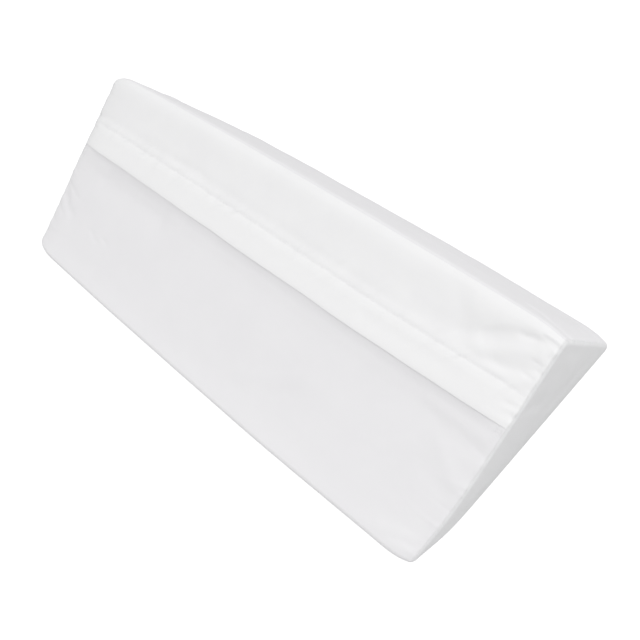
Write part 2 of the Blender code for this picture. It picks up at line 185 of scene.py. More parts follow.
def turn_length(side, corner):
    """Length of a side that belongs to the rounding of one of its corners."""
    return RADIUS[corner] * math.tan(math.acos(NORMAL[side] @ BISECTOR[corner]))


def profile(side, s):
    """Points and outward normals (y, z) at distances s along a side of the rounded triangle."""
    first, last = SIDE[side]
    along = unit(CORNER[last] - CORNER[first])
    point = CORNER[first] + s[..., None] * along
    out = np.broadcast_to(NORMAL[side], point.shape)
    for corner, distance in ((first, s), (last, side_length(side) - s)):
        bisector = BISECTOR[corner]
        share = np.clip(1 - distance / turn_length(side, corner), 0, 1)[..., None]
        angle = math.acos(NORMAL[side] @ bisector)
        turned = np.sin((1 - share) * angle) * NORMAL[side] + np.sin(share * angle) * bisector
        turned = turned / math.sin(angle)
        centre = CORNER[corner] - bisector * RADIUS[corner] / (NORMAL[side] @ bisector)
        point = np.where(share > 0, centre + RADIUS[corner] * turned, point)
        out = np.where(share > 0, turned, out)
    return point, out


def folds_at(folds, u, v):
    """Summed height of a table's folds at points of a face."""
    total = np.zeros(np.broadcast(u, v).shape)
    for u0, v0, u1, v1, bow, half, lean, height in folds:
        length = math.hypot(u1 - u0, v1 - v0)
        along_u, along_v = (u1 - u0) / length, (v1 - v0) / length
        along = (u - u0) * along_u + (v - v0) * along_v
        across = (v - v0) * along_u - (u - u0) * along_v
        share = np.clip(along / length, 0, 1)
        across = across - 4 * bow * share * (1 - share)
        past = along - share * length
        width = half * (1 + lean * np.tanh(across / half))
        total += height * np.exp(-(across / width) ** 2 - (past / half) ** 2)
    return total


def swell(share, height):
    """Crown of a stuffed face: nothing at either edge and full across most of the middle."""
    return height * np.sin(np.pi * np.clip(share, 0, 1)) ** 0.7


def ripples(u, v, seed):
    """Slow unevenness of taut cloth, between about -1 and 1: waves of many directions and lengths."""
    draw = np.random.default_rng(seed)
    total = np.zeros(np.broadcast(u, v).shape)
    for _ in range(14):
        length = draw.uniform(*WAVE_LENGTHS)
        heading = draw.uniform(0, np.pi)
        phase = draw.uniform(0, 2 * np.pi)
        wave = 2 * np.pi / length * (u * math.cos(heading) + v * math.sin(heading)) + phase
        total += np.sin(wave) * math.sqrt(length / WAVE_LENGTHS[1])
    return total / 4


def gathers(along, away, length, pitch, height, seed):
    """Small puckers square to a seam: uneven ridges along it that fade with the distance from it."""
    draw = np.random.default_rng(seed)
    total = np.zeros(np.broadcast(along, away).shape)
    place = draw.uniform(0, pitch)
    while place < length:
        half = draw.uniform(0.0012, 0.0030)
        reach = draw.uniform(0.003, 0.011)
        rise = height * draw.uniform(-1.0, 1.0)
        slant = draw.uniform(-0.35, 0.35)
        total += rise * np.exp(-((along - place - slant * away) / half) ** 2 - away / reach)
        place += pitch * draw.uniform(0.5, 1.5)
    return total


def at_end(sizes, end):
    """The size that belongs to each point's own end of the wedge."""
    return np.where(end > 0, sizes[1], sizes[-1])


def lip(side, s, end):
    """How far an end panel wraps round the rim at places on it."""
    depth = {"front": s / side_length("front"), "base": 1.0 + 0 * s, "back": s / side_length("back")}[side]
    return at_end(LIP_AT_RIDGE, end) * (1 - depth) + at_end(LIP_AT_BASE, end) * depth


def relief(side, x, s):
    """Height of the cover over the plain face: crown, folds, seams, gathers and slow unevenness."""
    end = np.where(x > 0, 1, -1)
    from_rim = HALF_LENGTH - np.abs(x)
    past_seam = lip(side, s, end) - from_rim
    from_seam = np.abs(past_seam)
    pinch, depth, welt = (at_end(sizes, end) for sizes in (SEAM_PINCH, SEAM_DEPTH, WELT))
    seam = -pinch * np.exp(-(from_seam / SEAM_PINCH_WIDTH) ** 2)
    seam = seam - depth * np.exp(-from_seam / SEAM_SOFTNESS)
    seam = seam + welt * np.exp(-((past_seam - WELT_PLACE) / WELT_WIDTH) ** 2)
    if side == "base":
        return seam * BASE_SEAM_SHARE
    folds, seed = {"front": (FRONT_FOLDS, 11), "back": (BACK_FOLDS, 12)}[side]
    height = swell(s / side_length(side), CROWN) * (1 - (np.abs(x) / HALF_LENGTH) ** 4)
    inward = np.clip(from_rim / FOLD_CLEARANCE, 0, 1)
    height = height + folds_at(folds, x, s) * inward
    height = height + UNEVENNESS * ripples(x, s, seed) * inward
    for sign, offset in ((-1, 0), (1, 5)):
        near = gathers(s, from_seam, side_length(side), GATHER_PITCH, GATHER_HEIGHT, seed + 20 + offset)
        height = height + near * (end == sign) * np.clip(from_rim / GATHER_CLEARANCE, 0, 1)
    far_corner = turn_length(side, SIDE[side][1])
    clear = np.minimum(s / RADIUS["ridge"], (side_length(side) - s) / far_corner)
    return (height + seam) * np.clip(clear, 0.15, 1)


def skin(x, side, s, out):
    """Points of the wedge's skin at x, moved outwards by out, with the rim of the ends rounded."""
    point, normal = profile(side, s)
    end = np.where(x > 0, 1, -1)
    radius = at_end(RIM_RADIUS, end)
    past = np.abs(x) - (HALF_LENGTH - radius)
    tilt = np.arcsin(np.clip(past / radius, 0, 1))
    inset = radius * (1 - np.cos(tilt))
    rise = out + relief(side, x, s)
    flat = point + normal * (rise * np.cos(tilt) - inset)[..., None]
    return np.stack([x + end * rise * np.sin(tilt), flat[..., 0], flat[..., 1]], axis=-1)


def settle(points):
    """Bow the long edges, draw the corners in and slant the ends, as the stuffed cover does."""
    x, y, z = np.moveaxis(np.asarray(points), -1, 0)
    end = np.where(x > 0, 1, -1)
    along = np.minimum(np.abs(x) / HALF_LENGTH, 1)
    height = z / RIDGE_HEIGHT
    middle = 1 - along ** 2.5
    near_end = np.maximum((np.abs(x) - HALF_LENGTH + CORNER_RUN) / CORNER_RUN, 0) ** 2
    scale = 1 + (EDGE_BOW * middle - at_end(CORNER_DRAW, end) * near_end) / RIDGE_HEIGHT
    towards = np.clip((x - NARROWING_START) / (NARROWING_END - NARROWING_START), 0, 1)
    narrower = NARROWING / RIDGE_HEIGHT * towards ** 2 * (3 - 2 * towards)
    away = (y - at_end(BULGE_PLACE, end)) / at_end(BULGE_HALF, end)
    bulge = at_end(BULGE, end) * np.exp(-away ** 2) * near_end
    flare = (at_end(FLARE_AT_BASE, end) + bulge) * (1 - height)
    flare = flare + at_end(FLARE_AT_BACK, end) * y / RIDGE_HEIGHT
    return np.stack([
        x + end * flare * along ** 2,
        y * (scale - narrower) + RIDGE_LEAN * middle * height,
        z * scale + RIDGE_RISE * middle * height,
    ], axis=-1)


def follow_hem(x, s):
    """Rows near the hem follow its edge, which is pulled towards the ridge at the near end."""
    near_end = np.clip((x - HEM_PULL_START) / (HALF_LENGTH - HEM_PULL_START), 0, 1) ** 1.6
    above = np.clip(s / (FLAP_WIDTH - HEM_WIDTH), 0, 1)
    below = np.clip((HEM_PULL_END - s) / (HEM_PULL_END - FLAP_WIDTH), 0, 1)
    return s - HEM_PULL * near_end * above * below


def over_cover(share, side, s, out):
    """Points at shares of the way from seam to seam along the length, at a row of the cover."""
    share, s = np.broadcast_arrays(np.asarray(share, float), np.asarray(s, float))
    end = np.where(share > 0, 1, -1)
    x = share * (HALF_LENGTH - lip(side, s, end))
    if side == "front":
        s = follow_hem(x, s)
    return skin(x, side, s, out)


def round_rim(end, side, s, share, out):
    """Points from an end panel's seam, at share 0, to the rim of the end face, at share 1."""
    x = end * (HALF_LENGTH - lip(side, s, np.full_like(s, end)) * (1 - np.sin(np.pi / 2 * share)))
    if side == "front":
        s = follow_hem(x, s)
    return skin(x, side, s, out)


def graded(reach, first, last, count):
    """Distances from 0 to reach whose steps grow evenly from first to last."""
    steps = np.linspace(first, last, count)
    return np.concatenate([[0], np.cumsum(steps)]) * reach / steps.sum()


def grid_corners(rings, rows):
    """Ring and row numbers of the four corners of each face of a grid, outwards for rows that run down."""
    ring, row = np.meshgrid(np.arange(rings - 1), np.arange(rows - 1), indexing="ij")
    corners = np.array([(ring, row), (ring, row + 1), (ring + 1, row + 1), (ring + 1, row)])
    return corners.transpose(1, 2, 3, 0).reshape(2, -1, 4)


def into_scene(name, data):
    """A new object of a mesh, lamp or camera, in the scene."""
    made = bpy.data.objects.new(name, data)
    bpy.context.scene.collection.objects.link(made)
    return made


def cloth_mesh(name, points, faces, corners_uv, material):
    """Mesh object of settled points, with the cloth's own map in metres for its weave."""
    mesh = bpy.data.meshes.new(name)
    mesh.from_pydata(points.tolist(), [], faces)
    weave_map = mesh.uv_layers.new(name="cloth")
    weave_map.data.foreach_set("uv", np.asarray(corners_uv, np.float32).ravel())
    mesh.materials.append(material)
    mesh.shade_smooth()
    return into_scene(name, mesh)


# Where the frame's origin lies: the shape above is centred under the ridge, the frame under the whole box
flap_low, flap_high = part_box("closure_flap")
body_low, body_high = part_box("wedge_body")
ends = np.array([-1.0, 1.0])[:, None]
flap_ends = settle(over_cover(ends, "front", np.linspace(0, FLAP_WIDTH, 30), 0.0))[..., 0]
stations = np.linspace(-1, 1, 41)[:, None]
lower_rows = np.linspace(0.15, 1, 60)
front_edge = settle(over_cover(stations, "front", side_length("front") * lower_rows, 0.0))[..., 1].min()
back_edge = settle(over_cover(stations, "back", side_length("back") * lower_rows, 0.0))[..., 1].max()
SHIFT = np.array([
    (flap_low.x + flap_high.x) / 2 - (flap_ends.min() + flap_ends.max()) / 2,
    (body_low.y + body_high.y) / 2 - (front_edge + back_edge) / 2,
    0.0,
])


def cloth_group(name, sizes):
    """An empty group for cloth: its map and named sizes go in, a height and a tone come out."""
    tree = bpy.data.node_groups.new(name, "ShaderNodeTree")
    face = tree.interface
    face.new_socket("Map", in_out="INPUT", socket_type="NodeSocketVector")
    for label, value in sizes.items():
        face.new_socket(label, in_out="INPUT", socket_type="NodeSocketFloat").default_value = value
    for label in ("Height", "Tone"):
        face.new_socket(label, in_out="OUTPUT", socket_type="NodeSocketFloat")
    nodes = tree.nodes
    return tree, nodes, tree.links, nodes.new("NodeGroupInput"), nodes.new("NodeGroupOutput")


def weave_group():
    """Plain weave: threads over and under each other, from the cloth's own map in metres."""
    tree, nodes, links, given, made = cloth_group("plain weave", {"Thread pitch": 0.0004, "Slubs": 0.3})

    def maths(operation, first, second=None):
        node = nodes.new("ShaderNodeMath")
        node.operation = operation
        for socket, value in zip(node.inputs, (first, second)):
            if isinstance(value, (int, float)):
                socket.default_value = value
            elif value is not None:
                links.new(value, socket)
        return node.outputs[0]

    parts = nodes.new("ShaderNodeSeparateXYZ")
    links.new(given.outputs["Map"], parts.inputs[0])
    turn = maths("DIVIDE", math.pi, given.outputs["Thread pitch"])
    warp = maths("SINE", maths("MULTIPLY", parts.outputs["X"], turn))
    weft = maths("SINE", maths("MULTIPLY", parts.outputs["Y"], turn))
    over = maths("MULTIPLY", warp, weft)
    threads = maths("MAXIMUM", maths("ABSOLUTE", warp), maths("ABSOLUTE", weft))
    woven = maths("ADD", maths("MULTIPLY", over, 0.25), maths("MULTIPLY", threads, 0.5))
    stretch = nodes.new("ShaderNodeMapping")
    stretch.inputs["Scale"].default_value = (900, 60, 1)
    links.new(given.outputs["Map"], stretch.inputs["Vector"])
    slub = nodes.new("ShaderNodeTexNoise")
    slub.inputs["Scale"].default_value = 1
    slub.inputs["Detail"].default_value = 2
    links.new(stretch.outputs["Vector"], slub.inputs["Vector"])
    uneven = maths("MULTIPLY", slub.outputs["Fac"], given.outputs["Slubs"])
    links.new(maths("ADD", woven, uneven), made.inputs["Height"])
    links.new(maths("ADD", maths("MULTIPLY", threads, 0.5), uneven), made.inputs["Tone"])
    return tree


def crumple_group():
    """Faint creases and unevenness of washed cotton, on the cloth's own map."""
    tree, nodes, links, given, made = cloth_group("washed unevenness", {"Crease size": 0.012})
    finer = nodes.new("ShaderNodeMath")
    finer.operation = "DIVIDE"
    finer.inputs[0].default_value = 1
    links.new(given.outputs["Crease size"], finer.inputs[1])
    creases = nodes.new("ShaderNodeTexNoise")
    creases.noise_type = "RIDGED_MULTIFRACTAL"
    creases.normalize = True
    creases.inputs["Detail"].default_value = 3
    creases.inputs["Roughness"].default_value = 0.45
    links.new(given.outputs["Map"], creases.inputs["Vector"])
    links.new(finer.outputs[0], creases.inputs["Scale"])
    links.new(creases.outputs["Fac"], made.inputs["Height"])
    clouds = nodes.new("ShaderNodeTexNoise")
    clouds.inputs["Scale"].default_value = 26
    clouds.inputs["Detail"].default_value = 3
    links.new(given.outputs["Map"], clouds.inputs["Vector"])
    links.new(clouds.outputs["Fac"], made.inputs["Tone"])
    return tree


PLAIN_WEAVE = weave_group()
WASHED = crumple_group()
THREAD_PITCH = 0.00042
WEAVE_DEPTH = 0.00004


def cotton(name, light, shade, crease_depth):
    """White cotton between two near tones, woven and faintly creased."""
    material = bpy.data.materials.new(name)
    material.use_nodes = True
    nodes, links = material.node_tree.nodes, material.node_tree.links
    shader = nodes["Principled BSDF"]
    shader.inputs["Roughness"].default_value = 0.82
    shader.inputs["Specular IOR Level"].default_value = 0.25
    shader.inputs["Sheen Weight"].default_value = 0.12
    shader.inputs["Sheen Roughness"].default_value = 0.45
    cloth_map = nodes.new("ShaderNodeUVMap")
    cloth_map.uv_map = "cloth"
    weave = nodes.new("ShaderNodeGroup")
    weave.node_tree = PLAIN_WEAVE
    weave.inputs["Thread pitch"].default_value = THREAD_PITCH
    washed = nodes.new("ShaderNodeGroup")
    washed.node_tree = WASHED
    for group in (weave, washed):
        links.new(cloth_map.outputs["UV"], group.inputs["Map"])
    tone = nodes.new("ShaderNodeMix")
    tone.data_type = "RGBA"
    tone.inputs["A"].default_value = (*shade, 1)
    tone.inputs["B"].default_value = (*light, 1)
    blend = nodes.new("ShaderNodeMath")
    blend.operation = "MULTIPLY_ADD"
    blend.inputs[1].default_value = 0.35
    links.new(weave.outputs["Tone"], blend.inputs[0])
    links.new(washed.outputs["Tone"], blend.inputs[2])
    links.new(blend.outputs[0], tone.inputs["Factor"])
    links.new(tone.outputs["Result"], shader.inputs["Base Color"])
    creased = nodes.new("ShaderNodeBump")
    creased.inputs["Distance"].default_value = crease_depth
    links.new(washed.outputs["Height"], creased.inputs["Height"])
    woven = nodes.new("ShaderNodeBump")
    woven.inputs["Distance"].default_value = WEAVE_DEPTH
    links.new(weave.outputs["Height"], woven.inputs["Height"])
    links.new(creased.outputs["Normal"], woven.inputs["Normal"])
    links.new(woven.outputs["Normal"], shader.inputs["Normal"])
    return material


# How deep the wrap lies under the plain skin, beneath the flap and below its edge, at distances s
WRAP_DEPTH = (
    # s,    depth
    (0.050, 0.0019),
    (0.066, 0.0006),
    (0.076, 0.0007),
    (0.084, 0.0028),
    (0.095, 0.0031),
    (0.165, 0.0),
)
DEPTH_EASING = 0.0025
RISE_BESIDE_SEAM = (0.0745, 0.0795)
RISE_SLANT = 0.025


def under_flap(side, share, s):
    """Depth of the wrap: the table's, eased along s, and nothing below the flap's edge beside the seams."""
    if side != "front":
        return 0 * s
    places, depths = zip(*WRAP_DEPTH)
    nearby = np.linspace(-DEPTH_EASING, DEPTH_EASING, 7)
    depth = np.mean([np.interp(s + near, places, depths) for near in nearby], axis=0)
    first, last = RISE_BESIDE_SEAM
    beside = np.clip(1 - (1 - np.abs(share)) * HALF_LENGTH / RISE_SLANT, 0, 1) ** 1.5
    return depth * (1 - beside * np.clip((s - first) / (last - first), 0, 1))


SEAM_ZONE = 0.036
SEAM_ZONE_STEPS = 24
SEAM_STEPS = graded(SEAM_ZONE, 0.0005, 0.0024, SEAM_ZONE_STEPS)
LENGTH_STATIONS = np.concatenate([
    -HALF_LENGTH + SEAM_STEPS,
    np.linspace(-HALF_LENGTH + SEAM_ZONE, HALF_LENGTH - SEAM_ZONE, 181)[1:-1],
    (HALF_LENGTH - SEAM_STEPS)[::-1],
]) / HALF_LENGTH
FRONT, BASE, BACK = (side_length(side) for side in ("front", "base", "back"))
FRONT_TURN = turn_length("front", "front_edge")
BACK_TURN = turn_length("back", "back_edge")
BASE_TURN = turn_length("base", "front_edge")
COARSE_ROWS_END = 0.068
RIDGE_ROWS_END = 0.010
WRAP_ROWS = (
    ("front", np.linspace(0, COARSE_ROWS_END, 9)[:-1]),
    ("front", np.linspace(COARSE_ROWS_END, FRONT - FRONT_TURN, 92)),
    ("front", FRONT - FRONT_TURN * np.linspace(1, 0, 8)[1:]),
    ("base", BASE_TURN * np.linspace(0, 1, 6)[1:]),
    ("base", np.linspace(BASE_TURN, BASE - BASE_TURN, 40)[1:-1]),
    ("base", BASE - BASE_TURN * np.linspace(1, 0, 6)),
    ("back", BACK - BACK_TURN * np.linspace(0, 1, 8)[1:]),
    ("back", np.linspace(BACK - BACK_TURN, RIDGE_ROWS_END, 96)[1:]),
    ("back", FLAP_ROOT + graded(RIDGE_ROWS_END - FLAP_ROOT, 0.0003, 0.0016, 9)[-2::-1]),
)


def wrap_grid(place):
    """A wrap's rows of points, worked out side by side and joined round the section."""
    return np.concatenate([place(side, s[None, :]) for side, s in WRAP_ROWS], axis=1)


ROOT_DIP = 0.0003


def root_dip(side, s):
    """The ridge seam's own dip, on the wrap and on the flap that is sewn in there."""
    if side != "back":
        return 0 * s
    return -ROOT_DIP * np.exp(-np.abs(s - FLAP_ROOT) / SEAM_SOFTNESS)


WRAP_TUCK = 0.0036
TUCKED_ROUND_RIM = (0.25, 0.6, 1.0)
TUCKED_OVER_FACE = (0.8, 0.6, 0.4, 0.2)
FACE_MIDDLE = np.array([0.0, RIDGE_HEIGHT * 0.38])


def build_wrap(material):
    stations = LENGTH_STATIONS[:, None]

    def in_sight(side, s):
        """The wrap from seam to seam, deeper where the flap lies over it."""
        return over_cover(stations, side, s, root_dip(side, s) - under_flap(side, stations, s))

    def turned_in(end):
        """The wrap's hidden end, under the end panel: round the rim and in towards the middle."""
        rings = []
        for share in TUCKED_ROUND_RIM:
            rings.append(wrap_grid(lambda side, s: round_rim(end, side, s, share, -WRAP_TUCK + 0 * s)))
        rim = rings[-1]
        middle = np.array([end * (HALF_LENGTH - WRAP_TUCK), *FACE_MIDDLE])
        return rings + [middle + (rim - middle) * share for share in TUCKED_OVER_FACE]

    points = np.concatenate([*turned_in(-1)[::-1], wrap_grid(in_sight), *turned_in(1)])
    across, count = points.shape[:2]
    corners = grid_corners(across, count + 1)
    faces = (corners[0] * count + corners[1] % count).tolist()
    section = points[across // 2]
    around = np.concatenate([[0], np.cumsum(np.linalg.norm(np.roll(section, -1, 0) - section, axis=1))])
    along = points[:, count // 4, 0]
    uv = np.stack([along[corners[0]], around[corners[1]]], -1).reshape(-1, 2)
    points = points.reshape(-1, 3)
    for end, first in ((-1, 0), (1, (across - 1) * count)):
        middle = len(points)
        points = np.concatenate([points, [[end * (HALF_LENGTH - WRAP_TUCK), *FACE_MIDDLE]]])
        for start in range(count):
            here, there = first + start, first + (start + 1) % count
            faces.append([middle, there, here][::-end])
        uv = np.concatenate([uv, np.zeros((3 * count, 2))])
    return cloth_mesh("filled_wedge", settle(points) + SHIFT, faces, uv, material)


wrap_cotton = cotton("wrap cotton", (0.861, 0.855, 0.868), (0.827, 0.820, 0.836), 0.00012)
filled_wedge = build_wrap(wrap_cotton)
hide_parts("wedge_body")
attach(filled_wedge, "root")


# The end panels
# A triangle of the same cotton at each end, cut a little larger than the foam so that it wraps round the
# rim. It is overlocked to the wrap and the flap from inside, and the seam turns in between them.

END_CROWN = 0.0028
END_UNEVENNESS = 0.00012
END_FOLD_MARGIN = 0.2
PANEL_CLOTH = 0.0009
RIM_SHARES = (0, 0.04, 0.09, 0.15, 0.22, 0.31, 0.42, 0.55, 0.7, 0.85, 1.0)

# Folds of an end panel, with y in the place of x and z in the place of s
END_FOLDS = {
    # y0,     z0,     y1,     z1,     bow,     half,   lean,  height
    1: (
        (-0.030, 0.094, -0.012, 0.080, 0.0020, 0.0075, 0.2, -0.0008),
        (0.020, 0.052, 0.066, 0.042, 0.0, 0.0120, 0.0, -0.0010),
        (-0.118, 0.014, -0.072, 0.022, 0.0020, 0.0070, 0.0, -0.0007),
        (0.012, 0.112, 0.030, 0.088, 0.0, 0.0070, 0.0, 0.0005),
    ),
    -1: (
        (0.036, 0.078, 0.012, 0.052, 0.0030, 0.0100, 0.2, -0.0010),
        (-0.078, 0.040, -0.030, 0.030, 0.0, 0.0120, 0.0, -0.0010),
        (0.082, 0.016, 0.118, 0.012, 0.0, 0.0060, 0.0, -0.0007),
    ),
}
PANEL_ROWS = (
    ("front", np.linspace(0, FRONT - FRONT_TURN, 120)[:-1]),
    ("front", FRONT - FRONT_TURN * np.linspace(1, 0, 8)),
    ("base", BASE_TURN * np.linspace(0, 1, 6)[1:]),
    ("base", np.linspace(BASE_TURN, BASE - BASE_TURN, 90)[1:-1]),
    ("base", BASE - BASE_TURN * np.linspace(1, 0, 6)),
    ("back", BACK - BACK_TURN * np.linspace(0, 1, 8)[1:]),
    ("back", np.linspace(BACK - BACK_TURN, 0, 118)[1:-1]),
)


def end_swell(y, z):
    """Smooth crown of the triangular end: 1 in the middle of the triangle and 0 on its sides."""
    up = z / RIDGE_HEIGHT
    across = (1 - up) / 2
    slide = (y - (BACK_REACH - FRONT_REACH) / 2 * (1 - up)) / (FRONT_REACH + BACK_REACH)
    sides = np.maximum(up, 0) * np.maximum(across - slide, 0) * np.maximum(across + slide, 0)
    return (27 * sides) ** 0.6


def end_face(end, side, s, share):
    """Points of an end face, from its rim at share 1 to its middle at share 0."""
    x = np.full_like(s, end * HALF_LENGTH)
    point, normal = profile(side, follow_hem(x, s) if side == "front" else s)
    y, z = np.moveaxis(FACE_MIDDLE + (point - normal * RIM_RADIUS[end] - FACE_MIDDLE) * share, -1, 0)
    inward = np.clip((1 - share) / END_FOLD_MARGIN, 0, 1)
    height = END_CROWN * end_swell(y, z) * (1 - share ** 4)
    height = height + (folds_at(END_FOLDS[end], y, z) + END_UNEVENNESS * ripples(y, z, 30 + end)) * inward
    return np.stack([x + end * height, y, z], axis=-1)


def build_panel(name, end, material):
    rings = []
    for share in RIM_SHARES:
        rings.append(np.concatenate([round_rim(end, side, s, share, 0 * s) for side, s in PANEL_ROWS]))
    for share in 1 - graded(1.0, 0.4, 1.2, 26)[1:-1]:
        rings.append(np.concatenate([end_face(end, side, s, share) for side, s in PANEL_ROWS]))
    rings = np.array(rings)
    across, count = rings.shape[:2]
    middle = end_face(end, "base", np.zeros(1), 0.0)
    from_middle = np.concatenate([np.broadcast_to(middle, (1, count, 3)), rings[::-1]])
    distance = np.cumsum(np.linalg.norm(np.diff(from_middle, axis=0), axis=2), axis=0)[::-1]
    heading = rings[len(RIM_SHARES), :, 1:] - FACE_MIDDLE
    heading = heading / np.linalg.norm(heading, axis=1, keepdims=True)
    flat = FACE_MIDDLE + heading[None] * distance[..., None]
    inner = across - 1
    if end < 0:
        rings, flat, inner = rings[::-1], flat[::-1], 0
    corners = grid_corners(across, count + 1)
    faces = (corners[0] * count + corners[1] % count).tolist()
    for start in range(count):
        here, there = inner * count + start, inner * count + (start + 1) % count
        faces.append([across * count, there, here][::-end])
    uv = flat[corners[0], corners[1] % count].reshape(-1, 2)
    spokes = (np.broadcast_to(FACE_MIDDLE, (count, 2)), np.roll(flat[inner], -1, 0), flat[inner])
    middle_uv = np.stack(spokes, 1)
    uv = np.concatenate([uv, middle_uv[:, ::-end].reshape(-1, 2)])
    points = np.concatenate([rings.reshape(-1, 3), middle])
    panel = cloth_mesh(name, settle(points) + SHIFT, faces, uv, material)
    return with_thickness(panel, PANEL_CLOTH, -1)


def with_thickness(piece, thickness, offset):
    """Give a single layer of cloth its thickness, as a plain mesh."""
    solidify = piece.modifiers.new("thickness", "SOLIDIFY")
    solidify.thickness = thickness
    solidify.offset = offset
    made = bpy.data.meshes.new_from_object(piece.evaluated_get(bpy.context.evaluated_depsgraph_get()))
    made.name = piece.name
    piece.modifiers.remove(solidify)
    piece.data = made
    return piece


# The end panels' cotton is set a little darker than the wrap's, though it is the same cloth. This is
# painted shade for the upright ends, and it also darkens the strip that wraps round the rim.
panel_cotton_painted_shade = cotton("panel cotton with painted shade", (0.840, 0.841, 0.848), (0.808, 0.809, 0.818), 0.00010)
for name, end in (("end_panel_left", -1), ("end_panel_right", 1)):
    panel = build_panel("sewn_" + name, end, panel_cotton_painted_shade)
    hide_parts(name)
    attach(panel, "root")


# The closing flap
# The panel that closes the cover like an envelope. It is sewn in along the ridge, lies loose over the upper
# front and ends in a wide hem, turned under once and stitched down; its sides are caught in the end seams.

FLAP_CLOTH = 0.0004
HEM_ROLL = 0.0004
HEM_REACH = FLAP_WIDTH + 0.0006
HEM_LINE = FLAP_WIDTH - HEM_WIDTH
HELD_AT_SEAM = 0.006

# Shallow dip above the stitching, the ridge beside it and the stitched groove, measured from the hem's line
HEM_WAVES = (
    # place,  half,   height
    (-0.008, 0.0045, -0.0004),
    (-0.0035, 0.0018, 0.0001),
    (0.0, 0.0013, -0.00022),
)
HEM_STEP = 0.0008
HEM_STEP_RUN = 0.0060
HEM_LIFT = 0.0001
HEM_BEND = 0.0004
HEM_BEND_RUN = 0.0032
PUCKERED_HALF = 0.240
FLAP_MAP_START = 0.013


def loose(x, reach, least=0.0):
    """1 where the flap lies free, falling to a least share at the seams that hold its sides."""
    from_seam = HALF_LENGTH - HELD_AT_SEAM - np.abs(x)
    return least + (1 - least) * np.clip(from_seam / reach, 0, 1) ** 0.7


def flap_height(x, s):
    """Flap over the plain skin: its waves, the thick hem band, and the lift and the bend of its edge."""
    below = s - HEM_LINE
    waves = sum(rise * np.exp(-((below - place) / half) ** 2) for place, half, rise in HEM_WAVES)
    band = HEM_STEP * np.clip(below / HEM_STEP_RUN, 0, 1) ** 0.8 * loose(x, 0.010)
    bulge = 0.35 + 0.65 * np.exp(-((x - 0.05) / 0.13) ** 2)
    lift = HEM_LIFT * bulge * np.clip(below / HEM_WIDTH, 0, 1) ** 2 * loose(x, 0.025)
    near_edge = np.clip((below - HEM_WIDTH + HEM_BEND_RUN) / HEM_BEND_RUN, 0, 1)
    bent = -HEM_BEND * near_edge ** 2 * loose(x, 0.010)
    return waves + band + lift + bent + hem_gathers(x, below)


def hem_gathers(x, below):
    """Slanting puckers that the hem's stitching draws up, across its line."""
    draw = np.random.default_rng(41)
    total = np.zeros(np.broadcast(x, below).shape)
    place = -PUCKERED_HALF
    while place < PUCKERED_HALF:
        half = draw.uniform(0.0014, 0.0034)
        rise = draw.uniform(-0.00080, 0.00100)
        slant = draw.uniform(0.3, 1.1)
        reach = draw.uniform(0.004, 0.010)
        line = x - place + slant * below
        total += rise * np.exp(-(line / half) ** 2 - (np.abs(below) / reach) ** 1.5)
        place += draw.uniform(0.004, 0.014)
    return total


def build_flap(material):
    stations = LENGTH_STATIONS[:, None]
    zone = SEAM_ZONE_STEPS
    between = np.linspace(stations[zone], stations[-zone - 1], 330)
    fine_stations = np.concatenate([stations[:zone], between, stations[-zone:]])
    by_ridge, above_line, below_line = 0.006, HEM_LINE - 0.004, HEM_LINE + 0.006
    rows = np.concatenate([
        graded(by_ridge, 0.6, 1.0, 8),
        np.linspace(by_ridge, above_line, 34)[1:],
        np.linspace(above_line, below_line, 17)[1:],
        np.linspace(below_line, HEM_REACH - HEM_ROLL, 13)[1:],
    ])[None, :]
    half = FLAP_CLOTH / 2

    def where(s):
        return fine_stations * (HALF_LENGTH - lip("front", s, np.sign(fine_stations)))

    def uneven(s):
        """Rows of the hem, whose edge wanders a little from a straight line."""
        return s + 0.0004 * ripples(where(s), 0 * s, 43) * np.clip((s - HEM_LINE) / HEM_WIDTH, 0, 1)

    root = FLAP_ROOT - np.array([[0, 0.0003, 0.0007, 0.0012]])
    parts = [over_cover(fine_stations, "back", root, root_dip("back", root) - half)]
    parts.append(over_cover(fine_stations, "front", uneven(rows), flap_height(where(rows), rows) - half))
    edge = np.array([[HEM_REACH - HEM_ROLL]])
    roll = HEM_ROLL * loose(where(edge), 0.012, 0.75)
    turn = np.linspace(0, np.pi, 10)[None, 1:]
    top = flap_height(where(edge), edge) - half
    rolled = uneven(edge + 0 * where(edge)) + roll * np.sin(turn)
    parts.append(over_cover(fine_stations, "front", rolled, top - roll * (1 - np.cos(turn))))
    under = np.linspace(edge[0, 0], HEM_LINE + 0.001, 10)[None, 1:]
    part = (under - HEM_LINE) / HEM_WIDTH
    gap = FLAP_CLOTH * 1.05 + (2 * roll - FLAP_CLOTH * 1.05) * np.clip(part, 0, 1)
    lower = flap_height(where(under), under) - half - gap
    parts.append(over_cover(fine_stations, "front", uneven(under), lower))
    points = np.concatenate(parts, axis=1)
    across, count = points.shape[:2]
    corners = grid_corners(across, count)
    faces = (corners[0] * count + corners[1]).tolist()
    section = points[across // 2]
    down = np.concatenate([[0], np.cumsum(np.linalg.norm(np.diff(section, axis=0), axis=1))])
    along = points[:, 20, 0]
    uv = np.stack([along[corners[0]], down[corners[1]] + FLAP_MAP_START], -1).reshape(-1, 2)
    flap = cloth_mesh("hemmed_flap", settle(points.reshape(-1, 3)) + SHIFT, faces, uv, material)
    return with_thickness(flap, FLAP_CLOTH, 0)


